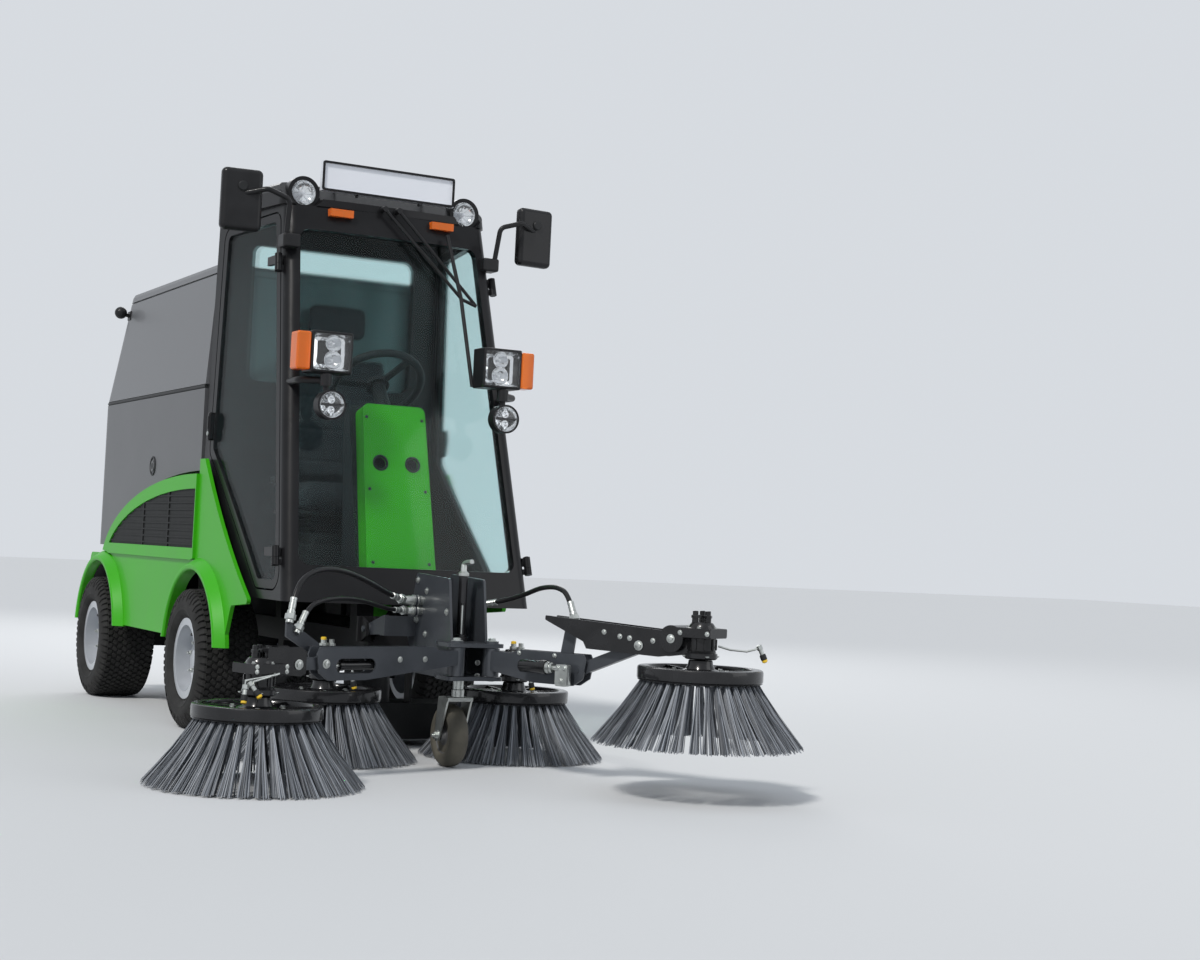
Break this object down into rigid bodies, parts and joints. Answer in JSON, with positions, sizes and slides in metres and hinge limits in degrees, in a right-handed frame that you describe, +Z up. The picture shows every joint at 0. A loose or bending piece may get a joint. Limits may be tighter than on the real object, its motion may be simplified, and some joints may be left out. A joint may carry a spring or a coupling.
{
  "type": "compact road sweeper",
  "caption": "Compact road sweeper: glazed cab, tipping hopper behind it, brushes on swinging lift arms, castor and suction mouth.",
  "frame": {"origin": "on the ground, at the middle of the whole outline's length and width, with the brush arms as they stand", "axes": "+Z up, -Y forward, +X towards the vehicle's left side"},
  "size_m": [1.8456, 4.1174, 2.048],
  "materials": {
    "amber_plastic": "gloss",
    "bristle_grey": "matt",
    "motor_black": "gloss",
    "cab_black": "satin",
    "galvanised": "galvanised",
    "castor_rubber": "matt",
    "post_steel": "polished",
    "frame_black": "satin",
    "green_paint": "gloss",
    "cab_plastic": "matt",
    "tinted_glass": "clear",
    "engine_grey": "matt",
    "arm_anthracite": "satin",
    "lamp_black": "satin",
    "hopper_grey": "satin",
    "hose_rubber": "satin",
    "lamp_glass": "clear",
    "red_plastic": "gloss",
    "rim_silver": "satin",
    "sign_white": "satin",
    "seat_fabric": "woven",
    "black_plastic": "matt",
    "tyre_black": "matt",
    "mesh_black": "matt"
  },
  "bodies": {
    "root": {"amber_lamps": "amber_plastic", "cab_floor": "cab_black", "cab_frame": "cab_black", "cab_roof": "cab_black", "chassis": "frame_black", "console": "green_paint", "console_column": "cab_plastic", "engine": "engine_grey", "engine_covers": "green_paint", "fixed_glass": "tinted_glass", "front_axle": "frame_black", "headlamps": "lamp_black", "lamp_lenses": "lamp_glass", "mirrors": "lamp_black", "mouth_brush_arms": "motor_black", "rear_axle": "frame_black", "rear_lamps": "red_plastic", "roof_sign": "sign_white", "seat": "seat_fabric", "side_skirts": "green_paint", "suction_unit": "black_plastic", "vent_grilles": "mesh_black", "wipers": "lamp_black"},
    "steering_wheel": {"steering_wheel": "cab_plastic"},
    "knuckle_right": {"knuckle_right": "frame_black"},
    "knuckle_left": {"knuckle_left": "frame_black"},
    "wheel_front_right": {"tyre_front_right": "tyre_black", "rim_front_right": "rim_silver"},
    "wheel_front_left": {"tyre_front_left": "tyre_black", "rim_front_left": "rim_silver"},
    "wheel_rear_right": {"tyre_rear_right": "tyre_black", "rim_rear_right": "rim_silver"},
    "wheel_rear_left": {"tyre_rear_left": "tyre_black", "rim_rear_left": "rim_silver"},
    "door_right": {"door_right_frame": "cab_black", "door_right_glass": "tinted_glass"},
    "door_left": {"door_left_frame": "cab_black", "door_left_glass": "tinted_glass"},
    "hopper": {"hopper_tank": "hopper_grey", "hopper_hood": "hopper_grey", "rear_camera": "lamp_black"},
    "hopper_door": {"hopper_door": "hopper_grey"},
    "front_frame": {"front_frame": "arm_anthracite", "centre_post": "post_steel", "hose_upper_right": "hose_rubber", "hose_lower_right": "hose_rubber", "hose_left": "hose_rubber"},
    "castor": {"castor_fork": "galvanised"},
    "castor_wheel": {"castor_wheel": "castor_rubber"},
    "swing_right": {"swing_arm_right": "arm_anthracite"},
    "swing_left": {"swing_arm_left": "arm_anthracite"},
    "lift_right": {"lift_arm_right": "arm_anthracite"},
    "lift_left": {"lift_arm_left": "arm_anthracite"},
    "yoke_right": {"brush_yoke_right": "motor_black"},
    "yoke_left": {"brush_yoke_left": "motor_black"},
    "brush_outer_right": {"brush_outer_right": "bristle_grey"},
    "brush_outer_left": {"brush_outer_left": "bristle_grey"},
    "brush_mouth_right": {"brush_mouth_right": "bristle_grey"},
    "brush_mouth_left": {"brush_mouth_left": "bristle_grey"}
  },
  "joints": [
    {"name": "steer_right", "type": "hinge", "parent": "root", "child": "knuckle_right", "pos_m": [-0.11343, 0.26888, 0.254], "axis": [0, 0, 1], "range_deg": [-25, 25]},
    {"name": "steer_left", "type": "hinge", "parent": "root", "child": "knuckle_left", "pos_m": [0.44257, 0.26888, 0.254], "axis": [0, 0, 1], "range_deg": [-25, 25]},
    {"name": "steering_wheel_turn", "type": "hinge", "parent": "root", "child": "steering_wheel", "pos_m": [0.16457, -0.16312, 1.271], "axis": [0, 0.666, 0.7459], "range_deg": [-300, 300]},
    {"name": "spin_front_right", "type": "hinge", "parent": "knuckle_right", "child": "wheel_front_right", "pos_m": [-0.26143, 0.26888, 0.254], "axis": [1, 0, 0], "continuous": true},
    {"name": "spin_front_left", "type": "hinge", "parent": "knuckle_left", "child": "wheel_front_left", "pos_m": [0.59057, 0.26888, 0.254], "axis": [1, 0, 0], "continuous": true},
    {"name": "spin_rear_right", "type": "hinge", "parent": "root", "child": "wheel_rear_right", "pos_m": [-0.26143, 1.66888, 0.254], "axis": [1, 0, 0], "continuous": true},
    {"name": "spin_rear_left", "type": "hinge", "parent": "root", "child": "wheel_rear_left", "pos_m": [0.59057, 1.66888, 0.254], "axis": [1, 0, 0], "continuous": true},
    {"name": "door_right_open", "type": "hinge", "parent": "root", "child": "door_right", "pos_m": [-0.29885, -0.50675, 0.66], "axis": [0.0514, 0.278, 0.9592], "range_deg": [0, 75]},
    {"name": "door_left_open", "type": "hinge", "parent": "root", "child": "door_left", "pos_m": [0.62799, -0.50675, 0.66], "axis": [0.0514, -0.278, -0.9592], "range_deg": [0, 75]},
    {"name": "hopper_tip", "type": "hinge", "parent": "root", "child": "hopper", "pos_m": [0.16457, 1.99288, 0.62], "axis": [-1, 0, 0], "range_deg": [0, 50]},
    {"name": "hopper_door_open", "type": "hinge", "parent": "hopper", "child": "hopper_door", "pos_m": [0.16457, 1.98288, 1.2], "axis": [1, 0, 0], "range_deg": [0, 65]},
    {"name": "front_lift", "type": "hinge", "parent": "root", "child": "front_frame", "pos_m": [0.16457, -0.63612, 0.42], "axis": [-1, 0, 0], "range_deg": [0, 10]},
    {"name": "castor_swivel", "type": "hinge", "parent": "front_frame", "child": "castor", "pos_m": [0.16457, -0.99712, 0.25], "axis": [0, 0, 1], "continuous": true},
    {"name": "castor_spin", "type": "hinge", "parent": "castor", "child": "castor_wheel", "pos_m": [0.16457, -0.94712, 0.1], "axis": [1, 0, 0], "continuous": true},
    {"name": "swing_right_turn", "type": "hinge", "parent": "front_frame", "child": "swing_right", "pos_m": [0.10457, -1.10612, 0.345], "axis": [0, 0, 1], "range_deg": [-8, 41], "deforming": ["hose_upper_right", "hose_lower_right"]},
    {"name": "lift_right_raise", "type": "hinge", "parent": "swing_right", "child": "lift_right", "pos_m": [-0.39949, -1.2699, 0.345], "axis": [-0.309, 0.9511, 0], "range_deg": [0, 35]},
    {"name": "level_right", "type": "hinge", "parent": "lift_right", "child": "yoke_right", "pos_m": [-0.50411, -1.30389, 0.345], "axis": [-0.309, 0.9511, 0], "range_deg": [-35, 0]},
    {"name": "spin_outer_right", "type": "hinge", "parent": "yoke_right", "child": "brush_outer_right", "pos_m": [-0.60777, -1.33758, 0.232], "axis": [0, 0, 1], "continuous": true},
    {"name": "spin_mouth_right", "type": "hinge", "parent": "root", "child": "brush_mouth_right", "pos_m": [-0.17643, -0.69912, 0.232], "axis": [0, 0, 1], "continuous": true},
    {"name": "swing_left_turn", "type": "hinge", "parent": "front_frame", "child": "swing_left", "pos_m": [0.22457, -1.10612, 0.345], "axis": [0, 0, 1], "range_deg": [0, 49], "deforming": ["hose_left"]},
    {"name": "lift_left_raise", "type": "hinge", "parent": "swing_left", "child": "lift_left", "pos_m": [0.39453, -1.38899, 0.345], "axis": [-0.8572, -0.515, 0], "range_deg": [-36.5, 11]},
    {"name": "level_left", "type": "hinge", "parent": "lift_left", "child": "yoke_left", "pos_m": [0.50914, -1.57973, 0.43491], "axis": [-0.8572, -0.515, 0], "range_deg": [-11, 36.5]},
    {"name": "spin_outer_left", "type": "hinge", "parent": "yoke_left", "child": "brush_outer_left", "pos_m": [0.60777, -1.74388, 0.382], "axis": [0, 0, 1], "continuous": true},
    {"name": "spin_mouth_left", "type": "hinge", "parent": "root", "child": "brush_mouth_left", "pos_m": [0.50557, -0.69912, 0.232], "axis": [0, 0, 1], "continuous": true}
  ],
  "couplings": [
    {"joint": "steer_left", "follows": "steer_right", "ratio": 1},
    {"joint": "steering_wheel_turn", "follows": "steer_right", "ratio": 12},
    {"joint": "level_right", "follows": "lift_right_raise", "ratio": -1},
    {"joint": "level_left", "follows": "lift_left_raise", "ratio": -1}
  ]
}
